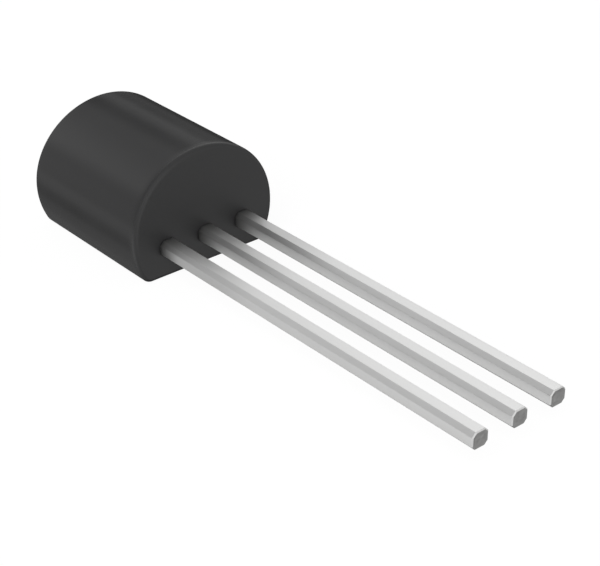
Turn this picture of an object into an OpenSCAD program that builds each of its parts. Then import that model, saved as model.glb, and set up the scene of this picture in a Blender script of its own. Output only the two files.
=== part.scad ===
// TO-92 transistor with three straight leads, lying on the flat of its moulded body.
//
// +X runs along the leads to their tips, +Y across the row of leads, and +Z up from the flat to the
// rounded back. The origin is the middle of the flat. All sizes are in millimetres and degrees.
//
// The body is cast round the leads, the chip and its bond wires in one shot, so its cavities are the
// very shapes of what it holds. Across, the body is two half ellipses that meet at its widest line, the
// lower one cut off by the flat. The mould parts at the middle plane of the leads, and above it both
// ends lean back.

/* [Moulded body] */
// Width of the rounded back at its widest line
body_w = 4.68; // [4.45:0.01:5.00]
// Length of the body along the leads
body_l = 4.91; // [4.40:0.01:5.33]
// Height of the rounded back above the flat
body_h = 3.42; // [3.20:0.01:4.00]
// Height of the widest line above the flat
widest_z = 1.270; // [1.100:0.005:1.400]
// Width of the flat, before its two long edges are rounded
flat_w = 3.94; // [3.60:0.01:4.10]
// Rounding of the flat's two long edges
flat_edge_r = 0.28; // [0.20:0.01:0.36]
// Rounding of the rim at the lead end
front_rim_r = 0.14; // [0.04:0.01:0.18]
// Rounding of the rim at the closed end
back_rim_r = 0.15; // [0.04:0.01:0.18]
// Draft of the lead end, above the leads
front_draft = 2.3; // [0:0.1:5]
// Draft of the closed end, above the leads
back_draft = 1.1; // [0:0.1:5]

/* [Mould marks] */
// Diameter of the mark that the ejector pin leaves in the flat
ejector_d = 1.1; // [0.8:0.1:1.4]
// Distance of the ejector mark from the middle of the flat, towards the closed end
ejector_back = 1.3; // [1.0:0.1:1.5]
// Width of the scar in the closed end where the gate was broken off
gate_w = 0.8; // [0.4:0.1:1.2]
// Height of the gate scar
gate_h = 0.28; // [0.20:0.01:0.40]
// Depth of the ejector mark and of the gate scar
mark_depth = 0.03; // [0.02:0.01:0.05]

/* [Leads] */
// Distance from one lead to the next
lead_pitch = 1.27; // [1.15:0.01:1.39]
// Height of the leads' middle plane above the flat
lead_z = 0.905; // [0.850:0.005:1.000]
// Width of a lead across the row
lead_w = 0.51; // [0.41:0.01:0.53]
// Thickness of a lead, and of the strip that all three are stamped from
lead_t = 0.475; // [0.360:0.005:0.500]
// Cut along each of a lead's four long edges
lead_edge_cut = 0.110; // [0.050:0.005:0.140]
// Length of a lead outside the body
lead_l = 11.57; // [5:0.01:15]
// Bevel round the cut end of a lead
tip_bevel = 0.02; // [0.01:0.01:0.06]

/* [Stamped ends inside the body] */
// Width of the pad that carries the chip
pad_w = 2.3; // [1.8:0.1:2.6]
// Length of the chip pad
pad_l = 1.7; // [1.3:0.1:1.8]
// Distance of the chip pad's far edge from the closed end of the body
pad_cover = 0.75; // [0.65:0.05:0.85]
// Width of a bond post, at the end of an outer lead
post_w = 0.85; // [0.70:0.05:0.90]
// Length of a bond post
post_l = 0.80; // [0.60:0.05:0.90]
// Gap between the bond posts and the chip pad
post_gap = 0.28; // [0.20:0.02:0.40]
// Corner cut of the chip pad and the bond posts
corner_cut = 0.18; // [0.10:0.02:0.26]
// Radius of the notches that lock the stampings in the compound
notch_r = 0.14; // [0.08:0.01:0.16]

/* [Chip and bonds] */
// Side of the square chip
die_side = 0.48; // [0.30:0.01:0.70]
// Thickness of the chip
die_t = 0.20; // [0.15:0.01:0.28]
// Thickness of the die attach
attach_t = 0.03; // [0.02:0.01:0.05]
// Margin of die attach round the chip
attach_margin = 0.04; // [0.02:0.01:0.08]
// Diameter of a bond wire
wire_d = 0.032; // [0.025:0.001:0.050]
// Diameter of the ball bond on the chip
ball_d = 0.09; // [0.07:0.01:0.12]
// Height of a wire's loop above the chip
loop_h = 0.34; // [0.20:0.02:0.50]

/* [Hidden] */

MOULD_BLACK = "#2e2f31";
TIN = "#d6d6d4";
SILICON = "#565c66";
SILVER_EPOXY = "#a9a9ac";
GOLD = "#d9ad48";

// Facets of the rounded back from level to top, of a side under the widest line, of a flat edge's
// rounding and of a rim
BACK_STEPS = 20;
SIDE_STEPS = 5;
EDGE_STEPS = 4;
RIM_STEPS = 4;
// Halvings that find where a side meets the rounding of the flat's edge
HALVINGS = 24;
// Sides of a bond wire, and rings along its loop
WIRE_SIDES = 8;
LOOP_STEPS = 12;
$fn = 48;

front_x = body_l / 2;
tip_x = front_x + lead_l;

// Height of the back's half ellipse over the widest line, and depth of the lower one under it, which
// meets the flat at the flat's width
back_rise = body_h - widest_z;
side_drop = widest_z / sqrt(1 - pow(flat_w / body_w, 2));

pad_back_x = -body_l / 2 + pad_cover;
pad_front_x = pad_back_x + pad_l;
post_back_x = pad_front_x + post_gap;
post_front_x = post_back_x + post_l;
post_outer_y = lead_pitch + lead_w / 2;
post_inner_y = post_outer_y - post_w;

strip_top_z = lead_z + lead_t / 2;
die_x = pad_front_x - pad_l * 0.38;
die_bottom_z = strip_top_z + attach_t;
die_top_z = die_bottom_z + die_t;
attach_side = die_side + 2 * attach_margin;

// Where the emitter's wire leaves the chip and where it lands, and the flattened stitch at its end
bond_pad = die_side * 0.24;
stitch_x = post_back_x + post_l * 0.42;
stitch_y = post_inner_y + post_w * 0.46;
stitch_l = 0.07;
stitch_flat = 0.35;

function unit(v) = v / norm(v);

// ---- Moulded body ----

// A point of the two half ellipses, drawn in square to the curve by inset. Angle a is 0 at the widest
// line and 90 at the top.
function curve_point(a, inset) =
    let (height = a < 0 ? side_drop : back_rise)
    [body_w / 2 * cos(a), widest_z + height * sin(a)]
    - inset * unit([height * cos(a), body_w / 2 * sin(a)]);

// Angle at which a circle that rounds the flat's edge touches both the side and the flat
function meeting_angle(low, high, left) =
    let (a = (low + high) / 2)
    left == 0 ? a
    : curve_point(a, flat_edge_r).y > flat_edge_r ? meeting_angle(low, a, left - 1)
    : meeting_angle(a, high, left - 1);

edge_angle = meeting_angle(-90, 0, HALVINGS);
edge_middle = curve_point(edge_angle, flat_edge_r);
edge_turn = atan2(body_w / 2 * sin(edge_angle), side_drop * cos(edge_angle));

// A point of the rounding at an edge of the flat, drawn in the same way
function edge_point(a, inset) =
    edge_middle + (flat_edge_r - inset) * [cos(a), sin(a)];

// Right half of the D-shaped outline, from the flat up to the top of the back
function half_outline(inset) = concat(
    [for (i = [0 : EDGE_STEPS])
        edge_point(-90 + (90 + edge_turn) * i / EDGE_STEPS, inset)],
    [for (i = [1 : SIDE_STEPS])
        curve_point(edge_angle * (1 - i / SIDE_STEPS), inset)],
    [for (i = [1 : BACK_STEPS])
        curve_point(90 * i / BACK_STEPS, inset)]
);

// Ring of points at angle a round the rim of one end, from 0 on the barrel to 90 on the end face.
// Above the parting plane the end face leans back by its draft.
function rim_ring(end, rim_r, draft, a) = [
    for (side = [-1, 1])
        for (p = half_outline(rim_r * (1 - cos(a))))
            let (lean = tan(draft) * max(p.y - lead_z, 0))
            [end * (body_l / 2 - rim_r * (1 - sin(a)) - lean), side * p.x, p.y]
];

function end_points(end, rim_r, draft) =
    [for (i = [0 : RIM_STEPS]) each rim_ring(end, rim_r, draft, 90 * i / RIM_STEPS)];

// Convex solid that a list of points spans
module wrapped(points) {
    hull()
        polyhedron(points, [for (i = [1 : len(points) - 2]) [0, i, i + 1]]);
}

module body_blank() {
    wrapped(concat(
        end_points(1, front_rim_r, front_draft),
        end_points(-1, back_rim_r, back_draft)
    ));
}

module ejector_mark() {
    translate([-ejector_back, 0, -mark_depth])
        cylinder(h = 2 * mark_depth, d = ejector_d);
}

module gate_scar() {
    translate([-body_l / 2, 0, lead_z])
        cube([2 * mark_depth, gate_w, gate_h], center = true);
}

// All that the compound flows round. The chip and its wires are sunk into what carries them, so that
// no film of compound is left where two pieces touch.
module moulded_in() {
    emitter_lead();
    collector_lead();
    base_lead();
    chip_block(attach_side, lead_z, die_bottom_z);
    chip_block(die_side, lead_z, die_top_z);
    bond_wire(sunk = die_t / 2);
    mirror([0, 1, 0])
        bond_wire(sunk = die_t / 2);
}

module moulded_body() {
    color(MOULD_BLACK)
        difference() {
            body_blank();
            ejector_mark();
            gate_scar();
            moulded_in();
        }
}

// ---- Leads ----

// Section across a lead: a rectangle with its corners cut off
module lead_section() {
    cut_rectangle([-lead_w / 2, -lead_t / 2], [lead_w / 2, lead_t / 2], lead_edge_cut);
}

// Wedge that bevels one edge of a cut end, at reach from the lead's middle line
module bevel_cutter(reach) {
    translate([0, 0, reach])
        rotate([0, 45, 0])
            cube([tip_bevel * sqrt(2), 2 * lead_w, tip_bevel * sqrt(2)], center = true);
}

// Straight bar with its long edges cut and its tip bevelled, from inner_x to the tip
module lead_bar(inner_x) {
    difference() {
        translate([inner_x, 0, 0])
            rotate([90, 0, 90])
                linear_extrude(tip_x - inner_x)
                    lead_section();
        translate([tip_x, 0, 0]) {
            for (turn = [0, 180])
                rotate([turn, 0, 0])
                    bevel_cutter(lead_t / 2);
            for (turn = [90, 270])
                rotate([turn, 0, 0])
                    bevel_cutter(lead_w / 2);
        }
    }
}

// Plate stamped from the strip, at the height of the leads
module stamped() {
    translate([0, 0, lead_z])
        linear_extrude(lead_t, center = true)
            children();
}

// Rectangle between two corners with its own four corners cut off
module cut_rectangle(low, high, cut) {
    polygon([
        [low.x + cut, low.y],
        [high.x - cut, low.y],
        [high.x, low.y + cut],
        [high.x, high.y - cut],
        [high.x - cut, high.y],
        [low.x + cut, high.y],
        [low.x, high.y - cut],
        [low.x, low.y + cut]
    ]);
}

module pad_outline() {
    difference() {
        cut_rectangle([pad_back_x, -pad_w / 2], [pad_front_x, pad_w / 2], corner_cut);
        for (side = [-1, 1])
            translate([pad_back_x + pad_l * 0.42, side * pad_w / 2])
                circle(notch_r);
    }
}

module post_outline() {
    difference() {
        cut_rectangle([post_back_x, post_inner_y], [post_front_x, post_outer_y], corner_cut);
        translate([post_back_x + post_l / 2, post_outer_y])
            circle(notch_r);
    }
}

module emitter_lead() {
    color(TIN)
        union() {
            translate([0, lead_pitch, lead_z])
                lead_bar(post_front_x - corner_cut);
            stamped()
                post_outline();
        }
}

module base_lead() {
    mirror([0, 1, 0])
        emitter_lead();
}

module collector_lead() {
    color(TIN)
        union() {
            translate([0, 0, lead_z])
                lead_bar(pad_front_x - corner_cut);
            stamped()
                pad_outline();
        }
}

// ---- Chip and bonds ----

// Square block on the chip's middle line, between two heights
module chip_block(side, bottom, top) {
    translate([die_x - side / 2, -side / 2, bottom])
        cube([side, side, top - bottom]);
}

module silicon_die() {
    color(SILICON)
        chip_block(die_side, die_bottom_z, die_top_z);
}

module die_attach() {
    color(SILVER_EPOXY)
        chip_block(attach_side, strip_top_z, die_bottom_z);
}

function bezier(p, u) =
    pow(1 - u, 3) * p[0] + 3 * u * pow(1 - u, 2) * p[1] + 3 * u * u * (1 - u) * p[2] + pow(u, 3) * p[3];

function bezier_slope(p, u) =
    3 * pow(1 - u, 2) * (p[1] - p[0]) + 6 * u * (1 - u) * (p[2] - p[1]) + 3 * u * u * (p[3] - p[2]);

// Ring of points round centre, across and along the unit vectors wide and high
function wire_ring(centre, wide, high, half_w, half_h) = [
    for (i = [0 : WIRE_SIDES - 1])
        let (a = 360 * (i + 0.5) / WIRE_SIDES)
        centre + half_w * cos(a) * wide + half_h * sin(a) * high
];

// Solid skin over a stack of rings with the same count of points
module skin(rings) {
    sides = len(rings[0]);
    last = len(rings) - 1;
    walls = [
        for (r = [0 : last - 1])
            for (i = [0 : sides - 1])
                let (a = r * sides + i)
                let (b = r * sides + (i + 1) % sides)
                each [[a, b + sides, b], [a, a + sides, b + sides]]
    ];
    start_cap = [for (i = [0 : sides - 1]) i];
    end_cap = [for (i = [sides - 1 : -1 : 0]) last * sides + i];
    polyhedron([for (ring = rings) each ring], concat(walls, [start_cap, end_cap]));
}

// Gold wire from a ball on the chip, over a loop, to a flattened stitch on the emitter's bond post.
// The ball's foot goes down into the chip by sunk.
module bond_wire(sunk = 0) {
    wire_r = wire_d / 2;
    low = cos(180 / WIRE_SIDES);
    foot = [die_x + bond_pad, bond_pad, die_top_z];
    stitch = [stitch_x, stitch_y, strip_top_z];
    run = unit([stitch.x - foot.x, stitch.y - foot.y, 0]);
    wide = [-run.y, run.x, 0];
    up = [0, 0, 1];
    ball_h = ball_d * 0.4;
    landing = stitch + wire_r * low * up;
    neck = foot + ball_h * up;
    loop = [neck, neck + loop_h * 1.3 * up, landing + loop_h * 1.1 * up - 0.45 * run, landing];
    // Height above the chip and radius, as shares of the ball's own
    ball_profile = [[-sunk / ball_h, 0.66], [0.25, 1], [0.75, 1], [0.95, 0.5]];
    ball = [
        for (ring = ball_profile)
            let (r = ring[1] * ball_d / 2)
            wire_ring(foot + ring[0] * ball_h * up, wide, -run, r, r)
    ];
    arch = [
        for (i = [0 : LOOP_STEPS])
            let (u = i / LOOP_STEPS)
            let (along = unit(bezier_slope(loop, u)))
            wire_ring(bezier(loop, u), wide, cross(along, wide), wire_r, wire_r)
    ];
    flattened = wire_r * stitch_flat;
    tail = wire_ring(stitch + flattened * low * up + stitch_l * run, wide, up, wire_d, flattened);
    skin(concat(ball, arch, [tail]));
}

module emitter_wire() {
    color(GOLD)
        bond_wire();
}

module base_wire() {
    mirror([0, 1, 0])
        emitter_wire();
}

moulded_body();
emitter_lead();
collector_lead();
base_lead();
silicon_die();
die_attach();
emitter_wire();
base_wire();
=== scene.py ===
"""Finished looks of a small three-lead transistor, built round its packed construction.

The part lies on the flat of its moulded body. +X runs along the leads to their tips, +Y across the
row, +Z up. Shapes are drafted in millimetres and turned into metres when they are finished.
"""
import logging
import math
from collections.abc import Callable, Iterator, Mapping, Sequence
from contextlib import contextmanager
from dataclasses import dataclass, field
from enum import Enum
from functools import cache
from typing import NamedTuple

import bmesh
import bpy
from mathutils import Matrix, Vector, noise


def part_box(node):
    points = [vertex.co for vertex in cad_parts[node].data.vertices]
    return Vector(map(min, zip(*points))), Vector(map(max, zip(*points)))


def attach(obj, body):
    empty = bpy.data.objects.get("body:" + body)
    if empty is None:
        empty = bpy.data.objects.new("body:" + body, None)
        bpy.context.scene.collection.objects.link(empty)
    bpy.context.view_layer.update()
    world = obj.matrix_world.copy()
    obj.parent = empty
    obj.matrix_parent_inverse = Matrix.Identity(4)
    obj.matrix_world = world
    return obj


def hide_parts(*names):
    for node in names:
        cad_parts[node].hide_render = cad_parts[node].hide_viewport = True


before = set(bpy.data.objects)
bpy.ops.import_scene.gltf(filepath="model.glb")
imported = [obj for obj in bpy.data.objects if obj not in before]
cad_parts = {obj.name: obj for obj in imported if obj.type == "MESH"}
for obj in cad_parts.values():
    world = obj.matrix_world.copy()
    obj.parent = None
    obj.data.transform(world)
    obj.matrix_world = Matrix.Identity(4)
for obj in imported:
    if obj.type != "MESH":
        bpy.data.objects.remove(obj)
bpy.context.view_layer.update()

log = logging.getLogger("transistor")

MM = 0.001
BODY = "root"

# In millimetres: points nearer than WELD are one, and a cutter stands TOOL_REACH out of what it cuts.
WELD = 1e-5
TOOL_REACH = 0.1

Socket = bpy.types.NodeSocket
Value = Socket | float


class Slot(Enum):
    """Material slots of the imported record."""

    COMPOUND = "moulding_compound"
    TIN = "tinned_lead"
    SILICON = "silicon"
    EPOXY = "silver_epoxy"
    GOLD = "gold_wire"


class End(Enum):
    """The two ends of the moulded body, as signs along X."""

    CLOSED = -1
    LEADS = 1


class Pin(Enum):
    """The three leads, as signs of their places along Y."""

    EMITTER = 1
    COLLECTOR = 0
    BASE = -1

    @property
    def node(self) -> str:
        """Name of the lead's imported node."""
        return self.name.lower() + "_lead"


# ---- Drafting meshes ----


@dataclass
class Span:
    """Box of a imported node, in millimetres."""

    low: Vector
    high: Vector

    @classmethod
    def of(cls, node: str) -> "Span":
        """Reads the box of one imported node."""
        low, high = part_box(node)
        return cls(low / MM, high / MM)

    @property
    def size(self) -> Vector:
        """Lengths of the three sides."""
        return self.high - self.low

    @property
    def middle(self) -> Vector:
        """Centre of the box."""
        return (self.high + self.low) / 2


def linked(name: str, data: bpy.types.ID) -> bpy.types.Object:
    """Makes an object and links it to the scene.

    Args:
        name: Its name.
        data: Its mesh, camera or light.

    Returns:
        The object.
    """
    made = bpy.data.objects.new(name, data)
    bpy.context.scene.collection.objects.link(made)
    return made


@contextmanager
def opened(mesh: bpy.types.Mesh) -> Iterator[bmesh.types.BMesh]:
    """Opens a mesh for editing and writes it back at the end.

    Args:
        mesh: The mesh.

    Yields:
        The draft to edit.
    """
    draft = bmesh.new()
    draft.from_mesh(mesh)
    yield draft
    draft.to_mesh(mesh)
    draft.free()


def heading(angle: float) -> Vector:
    """Unit vector at an angle in radians, in two dimensions."""
    return Vector((math.cos(angle), math.sin(angle)))


def circle(x: float, y: float, z: float, radius: float, steps: int) -> list[Vector]:
    """Points of a level circle, at even turns."""
    turns = [math.tau * i / steps for i in range(steps)]
    return [Vector((x + radius * math.cos(turn), y + radius * math.sin(turn), z)) for turn in turns]


@dataclass
class Skin:
    """Points and faces of one closed skin, in millimetres."""

    points: list[Vector] = field(default_factory=list)
    faces: list[list[int]] = field(default_factory=list)

    def loop(self, points: Sequence[Vector]) -> list[int]:
        """Adds a loop of points.

        Args:
            points: The points in order round the loop.

        Returns:
            Their indices in the skin.
        """
        first = len(self.points)
        self.points.extend(points)
        return list(range(first, len(self.points)))

    def wall(self, low: Sequence[int], high: Sequence[int]) -> None:
        """Joins two loops of the same length with a band of quads.

        Args:
            low: Indices of the first loop.
            high: Indices of the second loop.
        """
        count = len(low)
        for i in range(count):
            j = (i + 1) % count
            self.faces.append([low[i], low[j], high[j], high[i]])

    def stack(self, loops: Sequence[Sequence[Vector]]) -> list[list[int]]:
        """Adds loops and joins each to the next.

        Args:
            loops: Loops of points, all of one length.

        Returns:
            Indices of each loop.
        """
        rings = [self.loop(points) for points in loops]
        for low, high in zip(rings, rings[1:]):
            self.wall(low, high)
        return rings

    def close(self, ring: Sequence[int]) -> None:
        """Closes a loop with one flat face."""
        self.faces.append(list(ring))

    def fan(self, ring: Sequence[int], tip: Vector) -> None:
        """Closes a loop with triangles that meet in one point.

        Args:
            ring: Indices of the loop.
            tip: Where they meet.
        """
        self.points.append(tip)
        last = len(self.points) - 1
        for i in range(len(ring)):
            self.faces.append([ring[i], ring[(i + 1) % len(ring)], last])

    def patch(self, rows: Sequence[Sequence[Vector]]) -> list[int]:
        """Adds a grid of points and the faces between them.

        Args:
            rows: Rows of points, all of one length.

        Returns:
            Indices of the points round its border.
        """
        grid = [self.loop(row) for row in rows]
        for low, high in zip(grid, grid[1:]):
            for i in range(len(low) - 1):
                self.faces.append([low[i], low[i + 1], high[i + 1], high[i]])
        far = [row[-1] for row in grid[1:-1]]
        near = [row[0] for row in reversed(grid[1:-1])]
        return [*grid[0], *far, *reversed(grid[-1]), *near]

    def to_object(self, name: str) -> bpy.types.Object:
        """Makes an object of the skin, still in millimetres, with its faces turned outwards.

        Args:
            name: Name of the object.

        Returns:
            The new object, linked to the scene.
        """
        mesh = bpy.data.meshes.new(name)
        mesh.from_pydata([tuple(p) for p in self.points], [], self.faces)
        with opened(mesh) as draft:
            bmesh.ops.recalc_face_normals(draft, faces=draft.faces)
        return linked(name, mesh)


def lofted(name: str, loops: Sequence[Sequence[Vector]]) -> bpy.types.Object:
    """Makes a closed solid of loops, with a flat face on the first and on the last.

    Args:
        name: Name of the object.
        loops: Loops of points, all of one length.

    Returns:
        The solid, in millimetres.
    """
    skin = Skin()
    rings = skin.stack(loops)
    skin.close(rings[0])
    skin.close(rings[-1])
    return skin.to_object(name)


class Cut(Enum):
    """What a tool does to the object it meets."""

    AWAY = "DIFFERENCE"
    JOIN = "UNION"


def machine(work: bpy.types.Object, tool: bpy.types.Object, cut: Cut) -> None:
    """Cuts one solid with another, or joins it on.

    Args:
        work: The solid that changes.
        tool: The solid that cuts or joins.
        cut: What the tool does.
    """
    step = work.modifiers.new("step", "BOOLEAN")
    step.operation = cut.value
    step.solver = "EXACT"
    step.object = tool
    bake_modifiers(work)
    bpy.data.objects.remove(tool)


def bake_modifiers(work: bpy.types.Object) -> None:
    """Applies an object's modifiers to its mesh.

    Args:
        work: The object.
    """
    graph = bpy.context.evaluated_depsgraph_get()
    mesh = bpy.data.meshes.new_from_object(work.evaluated_get(graph))
    work.modifiers.clear()
    work.data = mesh


def core_of(piece: bpy.types.Object, scale: float = 1.0, press: float = 0.0) -> bpy.types.Object:
    """Copies a piece, to cut its place out of what is cast round it.

    Args:
        piece: The piece, which stays as it is.
        scale: Turns its units into millimetres.
        press: How far the copy is pressed down, where the piece only touches what it stands on.

    Returns:
        The copy, closed and in millimetres.
    """
    mesh = piece.data.copy()
    mesh.transform(Matrix.Translation((0.0, 0.0, -press)) @ Matrix.Scale(scale, 4) @ piece.matrix_world)
    with opened(mesh) as draft:
        bmesh.ops.remove_doubles(draft, verts=draft.verts, dist=WELD)
    return linked(piece.name + "_core", mesh)


class Octaves(NamedTuple):
    """Octaves of a torn surface: how fast they fall off, how they are spaced and how many there are."""

    falloff: float
    spacing: float
    count: int = 4


@dataclass(frozen=True)
class Polish:
    """How a drafted solid becomes a finished piece."""

    sharp_deg: float = 30.0
    crease: Callable[[bmesh.types.BMEdge], bool] | None = None

    def apply(self, work: bpy.types.Object) -> None:
        """Welds a solid, marks its sharp edges, evens its shading and turns millimetres into metres.

        Args:
            work: The drafted solid.
        """
        with opened(work.data) as draft:
            bmesh.ops.remove_doubles(draft, verts=draft.verts, dist=WELD)
            bmesh.ops.dissolve_degenerate(draft, edges=draft.edges, dist=WELD)
            for face in draft.faces:
                face.smooth = True
            for edge in draft.edges:
                bend = edge.calc_face_angle(math.pi)
                creased = self.crease is not None and self.crease(edge)
                edge.smooth = bend < math.radians(self.sharp_deg) and not creased
        work.data.transform(Matrix.Scale(MM, 4))
        shade = work.modifiers.new("shade", "WEIGHTED_NORMAL")
        shade.keep_sharp = True
        bake_modifiers(work)


# ---- Drafting materials ----


class NodeSheet:
    """Adds nodes to one node tree and joins them up."""

    def __init__(self, tree: bpy.types.NodeTree) -> None:
        """Starts from a tree."""
        self.tree = tree

    @classmethod
    def blank(cls, owner: bpy.types.Material | bpy.types.World) -> "NodeSheet":
        """Starts from the nodes of a material or a world, once they are cleared.

        Args:
            owner: The material or world.

        Returns:
            Its empty sheet.
        """
        owner.use_nodes = True
        owner.node_tree.nodes.clear()
        return cls(owner.node_tree)

    def add(
        self, kind: str, inputs: Mapping[str | int, object] | None = None, **settings: object
    ) -> bpy.types.Node:
        """Adds a node.

        Args:
            kind: Its type.
            inputs: What its inputs get, by name or number.
            **settings: Properties to set on it.

        Returns:
            The node.
        """
        node = self.tree.nodes.new(kind)
        for name, value in settings.items():
            setattr(node, name, value)
        for name, value in (inputs or {}).items():
            self.feed(node.inputs[name], value)
        return node

    def feed(self, socket: Socket, value: Value | Sequence[float] | None) -> None:
        """Links a socket, or sets its constant.

        Args:
            socket: The input.
            value: An output to link, or the constant. None leaves it alone.
        """
        if isinstance(value, bpy.types.NodeSocket):
            self.tree.links.new(value, socket)
        elif value is not None:
            socket.default_value = value

    def math(self, operation: str, a: Value, b: Value | None = None, clamp: bool = False) -> Socket:
        """Adds a sum of one or two values. If it is clamped, it stays between 0 and 1."""
        return self.add("ShaderNodeMath", {0: a, 1: b}, operation=operation, use_clamp=clamp).outputs[0]

    def ramp(self, value: Value, start: Value, end: Value, low: Value = 0.0, high: Value = 1.0) -> Socket:
        """Adds a smooth step: low up to the start, high from the end on."""
        given = dict(enumerate((value, start, end, low, high)))
        return self.add("ShaderNodeMapRange", given, interpolation_type="SMOOTHSTEP").outputs["Result"]

    def window(self, value: Value, rise: tuple[float, float], fall: tuple[float, float]) -> Socket:
        """Adds a window: 1 inside and 0 outside. Its two smooth edges have a start and an end each."""
        return self.math("MULTIPLY", self.ramp(value, *rise), self.ramp(value, *fall, 1.0, 0.0))

    def between(self, share: Value, a: Value, b: Value) -> Socket:
        """Adds a blend of two values: the first where the share is 0 and the second where it is 1."""
        return self.add("ShaderNodeMix", {0: share, 2: a, 3: b}, data_type="FLOAT").outputs[0]

    def colour(self, share: Value, a: Sequence[float] | Socket, b: Sequence[float] | Socket) -> Socket:
        """Adds a blend of two colours: the first where the share is 0 and the second where it is 1."""
        return self.add("ShaderNodeMix", {0: share, 6: a, 7: b}, data_type="RGBA").outputs[2]

    def axes(self, kind: str) -> Sequence[Socket]:
        """Adds coordinates of one kind, split into X, Y and Z."""
        place = self.add("ShaderNodeTexCoord").outputs[kind]
        return self.add("ShaderNodeSeparateXYZ", {0: place}).outputs

    def place(self, group: bpy.types.NodeTree, **values: Value) -> bpy.types.Node:
        """Places a shader group.

        Args:
            group: The group.
            **values: What its inputs get.

        Returns:
            The group's node.
        """
        node = self.add("ShaderNodeGroup", node_tree=group)
        for name, value in values.items():
            self.feed(node.inputs[name.capitalize()], value)
        return node


@dataclass(frozen=True)
class GroupDraft:
    """An effect that several materials share, before its nodes are laid out."""

    tree: bpy.types.NodeTree
    sheet: NodeSheet
    given: bpy.types.Node
    result: bpy.types.Node

    @classmethod
    def start(cls, name: str, inputs: dict[str, float], outputs: Sequence[str]) -> "GroupDraft":
        """Starts a shader group with named sockets.

        Args:
            name: Name of the group.
            inputs: Its inputs and what they are when nothing is given.
            outputs: Its outputs.

        Returns:
            The draft.
        """
        tree = bpy.data.node_groups.new(name, "ShaderNodeTree")
        for label, value in inputs.items():
            socket = tree.interface.new_socket(label, in_out="INPUT", socket_type="NodeSocketFloat")
            socket.default_value = value
        for label in outputs:
            tree.interface.new_socket(label, in_out="OUTPUT", socket_type="NodeSocketFloat")
        sheet = NodeSheet(tree)
        return cls(tree, sheet, sheet.add("NodeGroupInput"), sheet.add("NodeGroupOutput"))

    def where(self, size: Value, stretch: Value = 1.0) -> Socket:
        """Coordinates on the part that count in units of one size.

        Args:
            size: The unit in millimetres.
            stretch: How many times longer the unit is along X.

        Returns:
            The coordinates.
        """
        sheet = self.sheet
        place = sheet.add("ShaderNodeTexCoord").outputs["Object"]
        units = sheet.math("DIVIDE", 1 / MM, size)
        scaled = sheet.add("ShaderNodeVectorMath", {0: place, "Scale": units}, operation="SCALE")
        shape = sheet.add("ShaderNodeCombineXYZ", {0: sheet.math("DIVIDE", 1.0, stretch), 1: 1.0, 2: 1.0})
        factors = {0: scaled.outputs[0], 1: shape.outputs[0]}
        return sheet.add("ShaderNodeVectorMath", factors, operation="MULTIPLY").outputs[0]

    def clouds(self, where: Socket, detail: float, roughness: float, distortion: float = 0.0) -> Socket:
        """Adds noise with features of about one unit.

        Args:
            where: Coordinates.
            detail: How many finer octaves it has.
            roughness: How strong those are.
            distortion: How far it is pulled about.

        Returns:
            The noise, about 0.5 on average.
        """
        given = {
            "Vector": where,
            "Scale": 1.0,
            "Detail": detail,
            "Roughness": roughness,
            "Distortion": distortion,
        }
        return self.sheet.add("ShaderNodeTexNoise", given).outputs[0]


@cache
def grain_group() -> bpy.types.NodeTree:
    """Fine grain left by a mould, a roller or a plating bath.

    Returns:
        A group with Size and Stretch in, and Height and Speck out.
    """
    draft = GroupDraft.start("fine_grain", {"Size": 0.05, "Stretch": 1.0}, ("Height", "Speck"))
    sheet = draft.sheet
    where = draft.where(draft.given.outputs["Size"], draft.given.outputs["Stretch"])
    height = draft.clouds(where, detail=3.0, roughness=0.6)
    cells = sheet.add("ShaderNodeTexVoronoi", {"Vector": where, "Scale": 1.3}, feature="F1")
    speck = sheet.ramp(cells.outputs["Distance"], start=0.12, end=0.3, low=1.0, high=0.0)
    sheet.feed(draft.result.inputs["Height"], height)
    sheet.feed(draft.result.inputs["Speck"], speck)
    return draft.tree


@cache
def drift_group() -> bpy.types.NodeTree:
    """Slow change of tone over a surface, with soft patches.

    Returns:
        A group with Size and Stretch in, and Patch out.
    """
    draft = GroupDraft.start("slow_drift", {"Size": 1.0, "Stretch": 1.0}, ("Patch",))
    where = draft.where(draft.given.outputs["Size"], draft.given.outputs["Stretch"])
    patch = draft.clouds(where, detail=4.0, roughness=0.5, distortion=0.4)
    draft.sheet.feed(draft.result.inputs["Patch"], draft.sheet.ramp(patch, start=0.3, end=0.7))
    return draft.tree


class Surface(NamedTuple):
    """What a finish's nodes give the shader: a colour, a roughness, and a relief from 0 to 1."""

    colour: Socket
    roughness: Socket
    height: Socket


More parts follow.
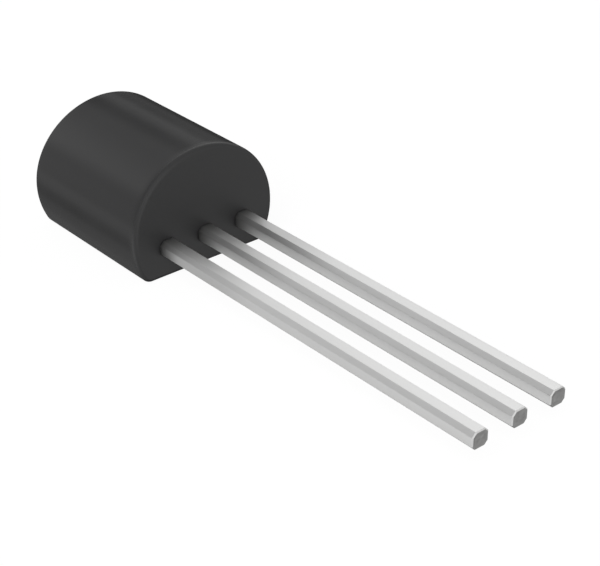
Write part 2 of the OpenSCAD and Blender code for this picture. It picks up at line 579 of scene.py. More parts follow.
@dataclass(frozen=True)
class Finish:
    """What every finish of the part has: its colour and roughness, how they vary, and a fine relief."""

    name: str
    colour: tuple[float, float, float]
    roughness: float
    grain_size: float
    grain_depth: float
    drift_size: float
    tones: tuple[float, float] = (0.92, 1.08)
    rough_spread: float = 0.02
    metal: bool = True
    ior: float = 1.5
    gloss: float = 0.5

    def material(self) -> bpy.types.Material:
        """Makes the material, or finds it if it is made already.

        Returns:
            The material.
        """
        made = bpy.data.materials.get(self.name)
        if made is None:
            made = bpy.data.materials.new(self.name)
            sheet = NodeSheet.blank(made)
            surface = self.dress(sheet)
            relief = {"Strength": 1.0, "Distance": self.grain_depth * MM, "Height": surface.height}
            look = {
                "Base Color": surface.colour,
                "Metallic": 1.0 if self.metal else 0.0,
                "Roughness": surface.roughness,
                "IOR": self.ior,
                "Specular IOR Level": self.gloss,
                "Normal": sheet.add("ShaderNodeBump", relief).outputs[0],
            }
            shader = sheet.add("ShaderNodeBsdfPrincipled", look)
            sheet.add("ShaderNodeOutputMaterial", {"Surface": shader.outputs[0]})
        return made

    def dress(self, sheet: NodeSheet) -> Surface:
        """Lays out the nodes that feed the shader. Each finish has its own."""
        raise NotImplementedError

    def tone(self, factor: float) -> tuple[float, float, float, float]:
        """The finish's colour, lighter or darker by a factor."""
        return (*(min(channel * factor, 1.0) for channel in self.colour), 1.0)

    def mottled(self, sheet: NodeSheet, share: Socket) -> Socket:
        """The finish's colour, from its darkest tone where the share is 0 to its lightest where it is 1."""
        return sheet.colour(share, self.tone(self.tones[0]), self.tone(self.tones[1]))

    def uneven(self, sheet: NodeSheet, share: Socket) -> Socket:
        """The finish's roughness, as much lower where the share is 0 as higher where it is 1."""
        return sheet.between(share, self.roughness - self.rough_spread, self.roughness + self.rough_spread)

    def drift(self, sheet: NodeSheet, stretch: float = 1.0) -> Socket:
        """Slow patches of the finish's own size, from 0 to 1."""
        return sheet.place(drift_group(), size=self.drift_size, stretch=stretch).outputs["Patch"]

    def grain(self, sheet: NodeSheet) -> Sequence[Socket]:
        """Fine grain of the finish's own size: Height and Speck."""
        return sheet.place(grain_group(), size=self.grain_size).outputs


@dataclass(frozen=True)
class MouldingCompound(Finish):
    """Black epoxy compound with mineral filler, as it leaves a satin mould."""

    speck_gain: float = 1.35
    speck_share: float = 0.3
    rim_roughness: float = 0.4
    end_roughness: float = 0.42
    rim_start: tuple[float, float] = (0.0, 0.12)
    end_start: tuple[float, float] = (0.85, 0.99)
    # Painted highlight: the rims' colour is made paler by this gain, between these two facings.
    rim_highlight_gain: float = 1.2
    rim_highlight_start: tuple[float, float] = (0.06, 0.2)
    rim_highlight_end: tuple[float, float] = (0.6, 0.85)

    def dulled(self, sheet: NodeSheet, facing: Socket, barrel: Value) -> Socket:
        """Makes the rims a little duller than the barrel, and the end faces duller again."""
        rim = sheet.between(sheet.ramp(facing, *self.rim_start), barrel, self.rim_roughness)
        return sheet.between(sheet.ramp(facing, *self.end_start), rim, self.end_roughness)

    def painted_rim_highlight(self, sheet: NodeSheet, facing: Socket, base: Socket) -> Socket:
        """Paints a highlight along the rims, by making their colour a little paler there."""
        # Painted highlight: colour lifted where the surface turns from the barrel to an end face.
        rims = sheet.window(facing, self.rim_highlight_start, self.rim_highlight_end)
        return sheet.colour(rims, base, self.tone(self.rim_highlight_gain))

    def dress(self, sheet: NodeSheet) -> Surface:
        """Lays out tone drift, filler specks, a painted highlight on the rims and the mould's fine grain.

        Args:
            sheet: The material's nodes.

        Returns:
            What they give.
        """
        facing = sheet.math("ABSOLUTE", sheet.axes("Normal")[0])
        drift = self.drift(sheet)
        height, speck = self.grain(sheet)
        share = sheet.math("MULTIPLY", speck, self.speck_share)
        flecked = sheet.colour(share, self.mottled(sheet, drift), self.tone(self.speck_gain))
        rough = self.dulled(sheet, facing, self.uneven(sheet, drift))
        return Surface(self.painted_rim_highlight(sheet, facing, flecked), rough, height)


@dataclass(frozen=True)
class TinPlate(Finish):
    """Matt tin over copper alloy, drawn faintly along the lead, with painted shade of the body darkening it
    where it comes out.
    """

    # Painted shade: how far the dark shade at the root reaches and how dark it is, then where the fainter
    # shade fades out and how dark it starts.
    near_shade_reach: float = 0.8
    near_shade_tone: float = 0.25
    far_shade: tuple[float, float] = (1.7, 4.2)
    far_shade_tone: float = 0.82
    drift_stretch: float = 2.5
    line_size: float = 0.035
    line_stretch: float = 60.0
    line_share: float = 0.6

    def painted_body_shade(self, sheet: NodeSheet) -> Socket:
        """Painted shade of the body on the lead: dark at its root, and a fainter shade that fades further
        out.

        Args:
            sheet: The material's nodes.

        Returns:
            How much of the plate's colour shows: 1 where no shade is painted.
        """
        away = sheet.math("SUBTRACT", sheet.axes("Object")[0], Span.of("moulded_body").high.x * MM)
        near_shade = sheet.math("SQRT", sheet.math("DIVIDE", away, self.near_shade_reach * MM, clamp=True))
        start, end = self.far_shade
        far_shade = sheet.ramp(away, start * MM, end * MM, self.far_shade_tone, 1.0)
        return sheet.math("MULTIPLY", sheet.between(near_shade, self.near_shade_tone, 1.0), far_shade)

    def dress(self, sheet: NodeSheet) -> Surface:
        """Lays out plating grain, faint drawn lines, slow changes of tone and the painted shade near the
        body.

        Args:
            sheet: The material's nodes.

        Returns:
            What they give.
        """
        lines = sheet.place(grain_group(), size=self.line_size, stretch=self.line_stretch).outputs["Height"]
        tone = sheet.between(0.5, self.drift(sheet, self.drift_stretch), lines)
        # Painted shade: the plate's colour goes towards black near the body.
        shade_colour = (0.0, 0.0, 0.0, 1.0)
        colour = sheet.colour(self.painted_body_shade(sheet), shade_colour, self.mottled(sheet, tone))
        height = sheet.between(self.line_share, self.grain(sheet)[0], lines)
        return Surface(colour, self.uneven(sheet, tone), height)


@dataclass(frozen=True)
class ShearedEnd(Finish):
    """Bare metal where the lead was cut off: part burnished, part torn."""

    def dress(self, sheet: NodeSheet) -> Surface:
        """Lays out the torn grain and its darker hollows.

        Args:
            sheet: The material's nodes.

        Returns:
            What they give.
        """
        drift = self.drift(sheet)
        height = self.grain(sheet)[0]
        tone = sheet.between(0.5, height, drift)
        return Surface(self.mottled(sheet, tone), self.uneven(sheet, drift), height)


@dataclass(frozen=True)
class PlainGrain(Finish):
    """Any of the small parts inside: one colour with its own grain and slow drift."""

    def dress(self, sheet: NodeSheet) -> Surface:
        """Lays out grain and drift of tone and roughness.

        Args:
            sheet: The material's nodes.

        Returns:
            What they give.
        """
        drift = self.drift(sheet)
        height, speck = self.grain(sheet)
        tone = sheet.between(0.5, drift, speck)
        return Surface(self.mottled(sheet, tone), self.uneven(sheet, drift), height)


COMPOUND = MouldingCompound(
    "moulding_compound_finish",
    (0.0145, 0.0145, 0.0149),
    roughness=0.2,
    grain_size=0.05,
    grain_depth=0.0001,
    drift_size=1.6,
    tones=(0.97, 1.03),
    metal=False,
)
TIN = TinPlate(
    "tin_plate_finish",
    (0.87, 0.87, 0.865),
    roughness=0.5,
    grain_size=0.04,
    grain_depth=0.0005,
    drift_size=1.1,
    tones=(0.96, 1.03),
    rough_spread=0.04,
)
SHEARED = ShearedEnd(
    "sheared_end_finish",
    (0.385, 0.385, 0.38),
    roughness=0.5,
    grain_size=0.03,
    grain_depth=0.0015,
    drift_size=0.25,
    tones=(0.9, 1.1),
    rough_spread=0.06,
)
SILICON = PlainGrain(
    "silicon_finish",
    (0.11, 0.12, 0.14),
    roughness=0.25,
    grain_size=0.02,
    grain_depth=0.0002,
    drift_size=0.16,
    rough_spread=0.0375,
)
EPOXY = PlainGrain(
    "silver_epoxy_finish",
    (0.52, 0.52, 0.53),
    roughness=0.45,
    grain_size=0.012,
    grain_depth=0.0008,
    drift_size=0.096,
    rough_spread=0.0675,
)
GOLD = PlainGrain(
    "gold_wire_finish",
    (0.83, 0.58, 0.22),
    roughness=0.22,
    grain_size=0.02,
    grain_depth=0.0002,
    drift_size=0.16,
    tones=(0.97, 1.03),
    rough_spread=0.033,
)


def give(work: bpy.types.Object, slot: Slot, finishes: Sequence[Finish], *nodes: str) -> None:
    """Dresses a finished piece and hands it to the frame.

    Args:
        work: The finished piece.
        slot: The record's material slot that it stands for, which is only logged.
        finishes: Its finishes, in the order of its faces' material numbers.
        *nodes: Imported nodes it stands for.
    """
    for finish in finishes:
        work.data.materials.append(finish.material())
    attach(work, BODY)
    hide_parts(*nodes)
    log.info("%s: %d faces, %s", work.name, len(work.data.polygons), slot.value)


# ---- The moulded body ----


@dataclass
class MouldedBody:
    """The D-shaped body, cast round the leads and the chip: drafts, rounded rims and mould marks."""

    flat_width: float = 3.94
    flat_edge_r: float = 0.28
    widest_z: float = 1.27
    rim_r: dict[End, float] = field(default_factory=lambda: {End.LEADS: 0.14, End.CLOSED: 0.15})
    draft_deg: dict[End, float] = field(default_factory=lambda: {End.LEADS: 2.3, End.CLOSED: 1.1})
    ejector_d: float = 1.1
    ejector_back: float = 1.3
    gate: tuple[float, float] = (0.8, 0.28)
    gate_steps: tuple[int, int] = (40, 14)
    gate_grain: float = 16.0
    gate_seed: float = 3.0
    gate_tear: float = 0.004
    gate_octaves: Octaves = Octaves(0.8, 2.2)
    mark_depth: float = 0.03
    mark_floor_r: float = 0.015
    mark_steps: int = 96
    halvings: int = 40
    level_slack: float = 1e-4
    flat_steps: int = 12
    edge_steps: int = 12
    side_steps: int = 12
    back_steps: int = 96
    rim_steps: int = 12
    barrel_steps: int = 12

    def __post_init__(self) -> None:
        """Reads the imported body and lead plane, and finds where the side meets the flat's edge."""
        self.span = Span.of("moulded_body")
        self.lead_z = Span.of("collector_lead").middle.z
        self.half_w = self.span.size.y / 2
        self.rise = self.span.high.z - self.widest_z
        self.drop = self.widest_z / math.sqrt(1 - (self.flat_width / 2 / self.half_w) ** 2)
        self.part_angle = math.asin((self.lead_z - self.widest_z) / self.drop)
        low, high = -math.pi / 2, 0.0
        for _ in range(self.halvings):
            self.edge_angle = (low + high) / 2
            if self.curve_point(self.edge_angle, self.flat_edge_r).y > self.flat_edge_r:
                high = self.edge_angle
            else:
                low = self.edge_angle
        self.edge_middle = self.curve_point(self.edge_angle, self.flat_edge_r)

    def outwards(self, angle: float) -> Vector:
        """Direction square to the curve at an angle: Y and Z."""
        height = self.drop if angle < 0 else self.rise
        return Vector((height * math.cos(angle), self.half_w * math.sin(angle))).normalized()

    def curve_point(self, angle: float, inset: float) -> Vector:
        """A point of the two half ellipses, drawn in square to the curve.

        Args:
            angle: 0 at the widest line and a quarter turn at the top, in radians.
            inset: How far it is drawn in.

        Returns:
            Its Y and Z.
        """
        height = self.drop if angle < 0 else self.rise
        curve = Vector((self.half_w * math.cos(angle), self.widest_z + height * math.sin(angle)))
        return curve - inset * self.outwards(angle)

    def curve(self, start: float, end: float, steps: int, inset: float) -> list[Vector]:
        """Points of the curve at even turns, without the last one."""
        turns = [start + (end - start) * i / steps for i in range(steps)]
        return [self.curve_point(turn, inset) for turn in turns]

    def half_outline(self, inset: float) -> list[Vector]:
        """Right half of the outline, from the middle of the flat to the top of the back.

        Args:
            inset: How far the outline is drawn in.

        Returns:
            Y and Z of each point, without the two that lie on the middle line.
        """
        square = self.outwards(self.edge_angle)
        last = math.atan2(square.y, square.x)
        radius = self.flat_edge_r - inset
        edge = []
        for i in range(self.edge_steps):
            turn = -math.pi / 2 + (last + math.pi / 2) * i / self.edge_steps
            edge.append(self.edge_middle + radius * heading(turn))
        flat = [Vector((edge[0].x * i / self.flat_steps, edge[0].y)) for i in range(1, self.flat_steps)]
        side = self.curve(self.edge_angle, self.part_angle, self.side_steps, inset)
        shoulder = self.curve(self.part_angle, 0.0, self.side_steps, inset)
        back = self.curve(0.0, math.pi / 2, self.back_steps, inset)
        return [*flat, *edge, *side, *shoulder, *back]

    def outline(self, inset: float) -> list[Vector]:
        """The whole outline, from the middle of the flat round the right side and back.

        Args:
            inset: How far the outline is drawn in.

        Returns:
            Y and Z of each point.
        """
        right = self.half_outline(inset)
        left = [Vector((-p.x, p.y)) for p in reversed(right)]
        bottom = Vector((0, inset))
        return [bottom, *right, self.curve_point(math.pi / 2, inset), *left]

    def ring(self, end: End, angle: float, share: float = 1.0) -> list[Vector]:
        """A ring of points round the body.

        Args:
            end: The end it belongs to.
            angle: 0 on the barrel and a quarter turn on the end face, in radians.
            share: 1 at the end's rim and 0 at the middle of the body.

        Returns:
            The ring's points.
        """
        rim = self.rim_r[end]
        lean = math.tan(math.radians(self.draft_deg[end]))
        reach = self.span.size.x / 2 - rim * (1 - math.sin(angle))
        flat = self.outline(rim * (1 - math.cos(angle)))
        lean_back = [lean * max(p.y - self.lead_z, 0) for p in flat]
        return [Vector((end.value * share * (reach - back), p.x, p.y)) for p, back in zip(flat, lean_back)]

    def half(self, end: End) -> list[list[Vector]]:
        """Rings of one half of the body.

        Args:
            end: The end that the half reaches to.

        Returns:
            The rings, from the middle of the barrel out to the end face.
        """
        barrel = [self.ring(end, 0, i / self.barrel_steps) for i in range(self.barrel_steps)]
        rim = [self.ring(end, math.pi / 2 * i / self.rim_steps) for i in range(self.rim_steps + 1)]
        return barrel + rim

    def blank(self) -> bpy.types.Object:
        """Makes the body before anything is cut from it.

        Returns:
            The body, with each end face split at the line where its draft starts.
        """
        skin = Skin()
        rings = skin.stack([*reversed(self.half(End.CLOSED)[1:]), *self.half(End.LEADS)])
        right = self.flat_steps + self.edge_steps + self.side_steps
        left = len(rings[0]) - right
        for ring in (rings[0], rings[-1]):
            skin.close([*ring[left:], *ring[: right + 1]])
            skin.close(ring[right : left + 1])
        return skin.to_object("moulded_body_visual")

    def scar_point(self, x: float, tear: float, column: int, row: int) -> Vector:
        """A point of the gate scar's cutter.

        Args:
            x: How deep it lies, from the end face.
            tear: How uneven the face is there.
            column: Its place across the scar.
            row: Its place up the scar.

        Returns:
            The point, from the middle of the scar.
        """
        (width, height), (columns, rows) = self.gate, self.gate_steps
        y = width * (column / columns - 0.5)
        z = height * (row / rows - 0.5)
        place = Vector((y * self.gate_grain, z * self.gate_grain, self.gate_seed))
        return Vector((x + tear * noise.fractal(place, *self.gate_octaves), y, z))

    def gate_scar(self) -> bpy.types.Object:
        """Makes the cutter for the scar of the broken gate, with a torn floor.

        Returns:
            The cutter.
        """
        skin = Skin()
        columns, rows = self.gate_steps
        borders = []
        for x, tear in ((-TOOL_REACH, 0.0), (self.mark_depth, self.gate_tear)):
            face = [[self.scar_point(x, tear, i, j) for i in range(columns + 1)] for j in range(rows + 1)]
            borders.append(skin.patch(face))
        skin.wall(*borders)
        tool = skin.to_object("gate_tool")
        tool.data.transform(Matrix.Translation((self.span.low.x, 0, self.lead_z)))
        return tool

    def ejector_mark(self) -> bpy.types.Object:
        """Makes the cutter for the round mark of the ejector pin, with a small radius at its floor.

        Returns:
            The cutter.
        """
        radius = self.ejector_d / 2
        profile = [(-TOOL_REACH, radius), (self.mark_depth - self.mark_floor_r, radius)]
        for turn in (math.radians(30), math.radians(60), math.radians(90)):
            short = self.mark_floor_r * (1 - math.sin(turn))
            inwards = self.mark_floor_r * (1 - math.cos(turn))
            profile.append((self.mark_depth - short, radius - inwards))
        loops = [circle(-self.ejector_back, 0, z, r, self.mark_steps) for z, r in profile]
        return lofted("ejector_tool", loops)

    def build(self, leads: "LeadRow", chip: "ChipStack") -> None:
        """Cuts the marks and the places of what it is cast round, and hands the body to the frame.

        Args:
            leads: The row of leads.
            chip: The chip on its pad, with its wires.
        """
        body = self.blank()
        machine(body, self.gate_scar(), Cut.AWAY)
        machine(body, self.ejector_mark(), Cut.AWAY)
        for lead in leads.leads:
            machine(body, lead.mouth(self.span.high.x), Cut.AWAY)
            machine(body, lead.core, Cut.AWAY)
        for core in chip.cores():
            machine(body, core, Cut.AWAY)
        Polish(crease=self.starts_draft).apply(body)
        give(body, Slot.COMPOUND, [COMPOUND], "moulded_body")

    def starts_draft(self, edge: bmesh.types.BMEdge) -> bool:
        """Whether an edge is the line across an end face where its draft starts."""
        level = all(abs(v.co.z - self.lead_z) < self.level_slack for v in edge.verts)
        return level and abs(edge.verts[0].co.x - edge.verts[1].co.x) < self.level_slack


# ---- The leads ----


@dataclass
class Lead:
    """One stamped and plated lead, from its end inside the body to its cut tip."""

    name: str
    y: float
    inner_x: float
    tip_x: float
    z: float
    width: float
    thick: float
    edge_cut: float = 0.11
    corner_r: float = 0.03
    bevel: float = 0.027
    corner_steps: int = 4
    ring_gap: float = 0.2
    mouth_gap: float = 0.003
    mouth_depth: float = 0.2
    sink_depth: float = 0.012
    sink_fade: float = 0.06
    sink_reach: float = 0.3
    sink_steps: int = 12
    tear_depth: float = 0.012
    tear_grain: float = 9.0
    tear_seed: float = 5.0
    tear_octaves: Octaves = Octaves(0.9, 2.1)
    tear_steps: int = 7
    tear_rise: float = 3.0
    tip_facing: float = 0.8
    core: bpy.types.Object | None = None

    def section(self, grow: float = 0.0) -> list[Vector]:
        """Section across the lead: a rectangle with its corners cut off and slightly rounded.

        Args:
            grow: How far it is drawn out on every side.

        Returns:
            Y and Z of each point, from the lead's middle.
        """
        slant = (self.width / 2 + self.thick / 2 - self.edge_cut) / math.sqrt(2)
        reach = [side + grow for side in (self.width / 2, slant, self.thick / 2, slant)] * 2
        radius = self.corner_r + grow
        bend = math.tau / len(reach)
        points = []
        for side, here in enumerate(reach):
            start = bend * side
            there = reach[(side + 1) % len(reach)]
            along = (there - here * math.cos(bend)) / math.sin(bend)
            corner = Matrix.Rotation(start, 2) @ Vector((here, along))
            centre = corner - radius / math.cos(bend / 2) * heading(start + bend / 2)
            for i in range(self.corner_steps + 1):
                points.append(centre + radius * heading(start + bend * i / self.corner_steps))
        return points

    def at(self, x: float, flat: Sequence[Vector]) -> list[Vector]:
        """Stands a section up at a place along the lead."""
        return [Vector((x, self.y + p.x, self.z + p.y)) for p in flat]

    def bar(self) -> bpy.types.Object:
        """Makes the straight bar with its bevelled, torn tip.

        Returns:
            The bar.
        """
        skin = Skin()
        run = self.tip_x - self.bevel - self.inner_x
        count = round(run / self.ring_gap)
        loops = [self.at(self.inner_x + run * i / count, self.section()) for i in range(count + 1)]
        loops.append(self.at(self.tip_x, self.section(-self.bevel)))
        rings = skin.stack(loops)
        skin.close(rings[0])
        self.torn_face(skin, rings[-1])
        return skin.to_object(self.name + "_visual")

    def torn_face(self, skin: Skin, rim: list[int]) -> None:
        """Closes the tip with the uneven face that shearing leaves.

        Args:
            skin: The lead's skin.
            rim: Its last ring.
        """
        middle = Vector((self.tip_x, self.y, self.z))
        outer = [skin.points[i].copy() for i in rim]
        last = rim
        for k in range(1, self.tear_steps):
            share = 1 - k / self.tear_steps
            points = []
            for p in outer:
                place = middle.lerp(p, share)
                grain = (self.y * self.tear_seed, place.y * self.tear_grain, place.z * self.tear_grain)
                tear = min(abs(noise.fractal(Vector(grain), *self.tear_octaves)), 1.0)
                place.x = self.tip_x - self.tear_depth * tear * min(1.0, self.tear_rise * (1 - share))
                points.append(place)
            ring = skin.loop(points)
            skin.wall(last, ring)
            last = ring
        skin.fan(last, middle - Vector((self.tear_depth / 2, 0, 0)))

    def mouth(self, face_x: float) -> bpy.types.Object:
        """Makes the cutter for the opening in the body that the lead comes out of.

        Args:
            face_x: Where the body's lead end is.

        Returns:
            The cutter, a little larger than the lead, with the soft sink round it at the face.
        """
        profile = [(-self.mouth_depth, self.mouth_gap)]
        for i in range(self.sink_steps + 1):
            out = self.sink_reach * i / self.sink_steps
            left = math.exp(-out / self.sink_fade) - math.exp(-self.sink_reach / self.sink_fade)
            profile.append((-self.sink_depth * left, self.mouth_gap + out))
        profile.append((TOOL_REACH, self.sink_reach + TOOL_REACH))
        return lofted("mouth_tool", [self.at(face_x + x, self.section(grow)) for x, grow in profile])

    def build(self, plate: bpy.types.Object) -> None:
        """Joins the bar to its stamped end, keeps its core for the body and hands the lead to the frame.

        Args:
            plate: The stamped end inside the body.
        """
        lead = self.bar()
        machine(lead, plate, Cut.JOIN)
        self.core = core_of(lead)
        Polish(sharp_deg=40).apply(lead)
        cut_x = (self.tip_x - 2 * self.tear_depth) * MM
        for face in lead.data.polygons:
            face.material_index = int(face.center.x > cut_x and face.normal.x > self.tip_facing)
        give(lead, Slot.TIN, [TIN, SHEARED], self.name)


@dataclass
class LeadRow:
    """The three leads and the stamped ends that carry the chip and the bond wires."""

    lead_w: float = 0.51
    corner_cut: float = 0.18
    notch_r: float = 0.14
    notch_steps: int = 48
    post_l: float = 0.80
    pad_l: float = 1.7
    notch_place: float = 0.42
    leads: list[Lead] = field(default_factory=list)

    def __post_init__(self) -> None:
        """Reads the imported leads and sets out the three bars."""
        self.boxes = {pin: Span.of(pin.node) for pin in Pin}
        self.thick = self.boxes[Pin.COLLECTOR].size.z
        pitch = self.boxes[Pin.EMITTER].high.y - self.lead_w / 2
        for pin, box in self.boxes.items():
            y = pin.value * pitch
            inner_x = box.low.x + self.plate_l(pin) - self.corner_cut
            self.leads.append(Lead(pin.node, y, inner_x, box.high.x, box.middle.z, self.lead_w, self.thick))

    def plate_l(self, pin: Pin) -> float:
        """Length of a lead's stamped end: the chip's pad or a post."""
        return self.pad_l if pin is Pin.COLLECTOR else self.post_l

    def notches(self, pin: Pin) -> list[tuple[float, float]]:
        """Where the locking notches of a stamped end are.

        Args:
            pin: Its lead.

        Returns:
            X and Y of their middles: on both edges of the pad, and on the outer edge of a post.
        """
        box = self.boxes[pin]
        if pin is Pin.COLLECTOR:
            x = box.low.x + self.pad_l * self.notch_place
            return [(x, box.low.y), (x, box.high.y)]
        return [(box.low.x + self.post_l / 2, box.high.y if pin is Pin.EMITTER else box.low.y)]

    def plate(self, pin: Pin) -> bpy.types.Object:
        """Makes a stamped end with cut corners and locking notches.

        Args:
            pin: Its lead.

        Returns:
            The plate.
        """
        box = self.boxes[pin]
        cut = self.corner_cut
        low = box.low
        high = Vector((low.x + self.plate_l(pin), box.high.y))
        flat = [
            (low.x + cut, low.y),
            (high.x - cut, low.y),
            (high.x, low.y + cut),
            (high.x, high.y - cut),
            (high.x - cut, high.y),
            (low.x + cut, high.y),
            (low.x, high.y - cut),
            (low.x, low.y + cut),
        ]
        bottom = self.boxes[Pin.COLLECTOR].low.z
        top = bottom + self.thick
        plate = lofted(pin.node + "_plate", [[Vector((*p, z)) for p in flat] for z in (bottom, top)])
        for x, y in self.notches(pin):
            ends = (bottom - TOOL_REACH, top + TOOL_REACH)
            punch = lofted("punch", [circle(x, y, z, self.notch_r, self.notch_steps) for z in ends])
            machine(plate, punch, Cut.AWAY)
        return plate

    def build(self) -> None:
        """Builds the three leads."""
        for lead, pin in zip(self.leads, Pin):
            lead.build(self.plate(pin))


# ---- The chip ----


@dataclass(frozen=True)
class ChipStack:
    """The die, its attach and the bond wires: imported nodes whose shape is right."""

    wire_press: float = 0.002
    finishes: tuple[tuple[str, Slot, Finish], ...] = (
        ("silicon_die", Slot.SILICON, SILICON),
        ("die_attach", Slot.EPOXY, EPOXY),
        ("emitter_wire", Slot.GOLD, GOLD),
        ("base_wire", Slot.GOLD, GOLD),
    )

    def cores(self) -> list[bpy.types.Object]:
        """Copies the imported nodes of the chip, to cut their places out of the body.

        Returns:
            The copies. The wires' are pressed down, because their feet only touch the posts.
        """
        cores = []
        for node, slot, _ in self.finishes:
            press = self.wire_press if slot is Slot.GOLD else 0.0
            cores.append(core_of(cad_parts[node], 1 / MM, press))
        return cores

    def dress(self) -> None:
        """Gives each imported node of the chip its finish."""
        for node, slot, finish in self.finishes:
            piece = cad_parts[node]
            piece.data.materials.clear()
            piece.data.materials.append(finish.material())
            log.info("%s: packed node, %s", node, slot.value)


# ---- The studio ----


@dataclass(frozen=True)
class SoftBox:
    """A soft box, as glossy surfaces see it.

    Turns run round the leads' direction: 0 is overhead, positive towards -Y. Leans run from the closed
    end's side to the tips': 0 is level with the row, positive towards the tips. Both are in degrees.
    """

    turn: tuple[float, float]
    level: float
    lean: tuple[float, float]
    turn_edge: float = 10.0
    lean_edge: float = 6.0

    def seen(self, sheet: NodeSheet, turn: Socket, lean: Socket) -> Socket:
        """Lays out the light that it gives.

        Args:
            sheet: The world's nodes.
            turn: Turn of each direction.
            lean: Lean of each direction.

        Returns:
            The level in each direction.
        """
        shape: Value = 1.0
        spans = ((turn, self.turn, self.turn_edge), (lean, self.lean, self.lean_edge))
        for value, (start, end), edge in spans:
            rise = (start - edge / 2, start + edge / 2)
            fall = (end - edge / 2, end + edge / 2)
            shape = sheet.math("MULTIPLY", shape, sheet.window(value, rise, fall))
        return sheet.math("MULTIPLY", shape, self.level)


# Leans of the light that the barrel shows, and of the light that the leads and the rim show.
BARREL_LEAN = (-120.0, -43.0)
ROW_LEAN = (-43.0, -8.0)


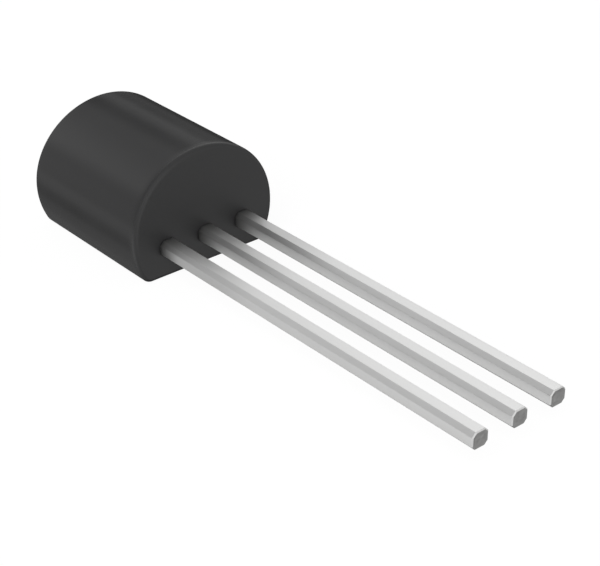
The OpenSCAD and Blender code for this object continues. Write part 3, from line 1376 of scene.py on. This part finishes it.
@dataclass(frozen=True)
class Studio:
    """Camera, pale floor, soft light and white surroundings."""

    target: Vector = Vector((6.210, 0.159, 0.905))
    distance: float = 41.10
    azimuth_deg: float = 49.68
    elevation_deg: float = 30.00
    roll_deg: float = 0.08
    lens: float = 95.876
    floor_size: float = 1200.0
    floor_drop: float = 0.005
    floor_tone: float = 0.07
    floor_lift: float = 0.94
    ambient: float = 0.5
    key_level: float = 0.75
    key_from: Vector = Vector((0.45, -0.62, 0.64))
    key_spread_deg: float = 50.0
    backdrop: float = 0.05
    soft_boxes: tuple[SoftBox, ...] = (
        SoftBox((5, 120), 0.53, BARREL_LEAN, turn_edge=85),
        SoftBox((-20, 55), 0.29, BARREL_LEAN, turn_edge=25),
        SoftBox((-95, -60), 0.09, BARREL_LEAN, turn_edge=14),
        SoftBox((-66, -14), 0.14, BARREL_LEAN, turn_edge=16),
        SoftBox((-64, -46), 0.13, BARREL_LEAN, turn_edge=3),
        SoftBox((-32, -18), 0.06, BARREL_LEAN),
        SoftBox((105, 125), 0.16, BARREL_LEAN, turn_edge=5),
        SoftBox((125, 200), 0.06, BARREL_LEAN),
        SoftBox((145, 200), 0.13, BARREL_LEAN, turn_edge=5),
        SoftBox((-200, -125), 0.12, BARREL_LEAN, turn_edge=20),
        SoftBox((-76, 4), 0.82, (-43, -10), turn_edge=45),
        SoftBox((-75, 165), 0.33, ROW_LEAN, turn_edge=35),
        SoftBox((98, 150), 0.37, ROW_LEAN, turn_edge=20),
        SoftBox((-115, 165), 0.43, (-8, 25)),
        SoftBox((98, 134), 0.6, (-20, 12)),
        SoftBox((-200, 200), 0.66, (25, 120)),
        SoftBox((-200, 200), 0.2, (60, 120)),
        SoftBox((-10, 60), 0.6, (62, 88)),
    )

    def back(self) -> Vector:
        """Unit vector from what the camera looks at to the camera."""
        a, e = math.radians(self.azimuth_deg), math.radians(self.elevation_deg)
        return Vector((math.sin(a) * math.cos(e), -math.cos(a) * math.cos(e), math.sin(e)))

    def camera(self) -> None:
        """Makes the camera and sets it as the scene's."""
        data = bpy.data.cameras.new("camera")
        data.lens = self.lens
        data.clip_start = 0.001
        data.clip_end = 10.0
        made = linked("camera", data)
        made.location = (self.target + self.back() * self.distance) * MM
        turn = (-self.back()).to_track_quat("-Z", "Y").to_matrix()
        roll = Matrix.Rotation(math.radians(-self.roll_deg), 3, "Z")
        made.rotation_euler = (turn @ roll).to_euler()
        bpy.context.scene.camera = made

    def floor(self) -> None:
        """Makes the pale floor, which keeps the part's shadow and is clear from below."""
        half = self.floor_size / 2 * MM
        mesh = bpy.data.meshes.new("floor")
        corners = [(-half, -half), (half, -half), (half, half), (-half, half)]
        mesh.from_pydata([(x, y, -self.floor_drop * MM) for x, y in corners], [], [[0, 1, 2, 3]])
        mesh.materials.append(self.floor_material())
        made = linked("floor", mesh)
        made.visible_diffuse = False
        made.visible_glossy = False
        made.visible_transmission = False
        made.visible_shadow = False

    def floor_material(self) -> bpy.types.Material:
        """Matt pale paint, lifted to white for the camera where no shadow falls.

        Returns:
            The material.
        """
        made = bpy.data.materials.new("floor_paint")
        sheet = NodeSheet.blank(made)
        paint = sheet.add("ShaderNodeBsdfDiffuse", {"Color": (*[self.floor_tone] * 3, 1.0)}).outputs[0]
        lift = sheet.add("ShaderNodeEmission", {"Strength": self.floor_lift}).outputs[0]
        both = sheet.add("ShaderNodeAddShader", {0: paint, 1: lift}).outputs[0]
        path = sheet.add("ShaderNodeLightPath").outputs
        seen = sheet.math("MAXIMUM", path["Is Camera Ray"], path["Is Glossy Ray"])
        seen = sheet.math("MAXIMUM", seen, path["Is Transmission Ray"])
        lifted = sheet.add("ShaderNodeMixShader", {0: seen, 1: paint, 2: both}).outputs[0]
        clear = sheet.add("ShaderNodeBsdfTransparent").outputs[0]
        below = sheet.add("ShaderNodeNewGeometry").outputs["Backfacing"]
        side = sheet.add("ShaderNodeMixShader", {0: below, 1: lifted, 2: clear}).outputs[0]
        sheet.add("ShaderNodeOutputMaterial", {"Surface": side})
        return made

    def key_lamp(self) -> None:
        """Makes the broad, soft key light."""
        data = bpy.data.lights.new("key_light", "SUN")
        data.energy = self.key_level * math.pi
        data.angle = math.radians(self.key_spread_deg)
        made = linked("key_light", data)
        made.rotation_euler = (-self.key_from).to_track_quat("-Z", "Y").to_euler()
        made.visible_glossy = False

    def surroundings(self) -> None:
        """Makes the world: white to the camera, soft boxes to gloss, an even level to the rest."""
        world = bpy.data.worlds.new("surroundings")
        bpy.context.scene.world = world
        sheet = NodeSheet.blank(world)
        if hasattr(world, "cycles"):
            world.cycles.sampling_method = "NONE"
        path = sheet.add("ShaderNodeLightPath").outputs
        gloss = sheet.math("MAXIMUM", path["Is Glossy Ray"], path["Is Transmission Ray"])
        level = sheet.between(gloss, self.ambient, self.reflected(sheet))
        level = sheet.between(path["Is Camera Ray"], level, 1.0)
        shine = sheet.add("ShaderNodeBackground", {"Color": (1.0, 1.0, 1.0, 1.0), "Strength": level})
        sheet.add("ShaderNodeOutputWorld", {"Surface": shine.outputs[0]})

    def reflected(self, sheet: NodeSheet) -> Socket:
        """What glossy surfaces see: a dim studio with soft boxes.

        Args:
            sheet: The world's nodes.

        Returns:
            The level in each direction.
        """
        x, y, z = sheet.axes("Generated")
        turn = sheet.math("DEGREES", sheet.math("ARCTAN2", sheet.math("MULTIPLY", y, -1.0), z))
        lean = sheet.math("DEGREES", sheet.math("ARCSINE", x))
        level: Value = self.backdrop
        for box in self.soft_boxes:
            level = sheet.math("ADD", level, box.seen(sheet, turn, lean))
        return level

    def build(self) -> None:
        """Sets up the whole studio."""
        bpy.context.scene.view_settings.view_transform = "Standard"
        self.camera()
        self.floor()
        self.key_lamp()
        self.surroundings()
        log.info("studio: camera at %.1f mm, one key light, pale floor", self.distance)


def main() -> None:
    """Builds the studio and every piece of the part."""
    logging.basicConfig(level=logging.INFO, format="%(name)s: %(message)s")
    Studio().build()
    leads = LeadRow()
    leads.build()
    chip = ChipStack()
    MouldedBody().build(leads, chip)
    chip.dress()


if __name__ == "__main__":
    main()
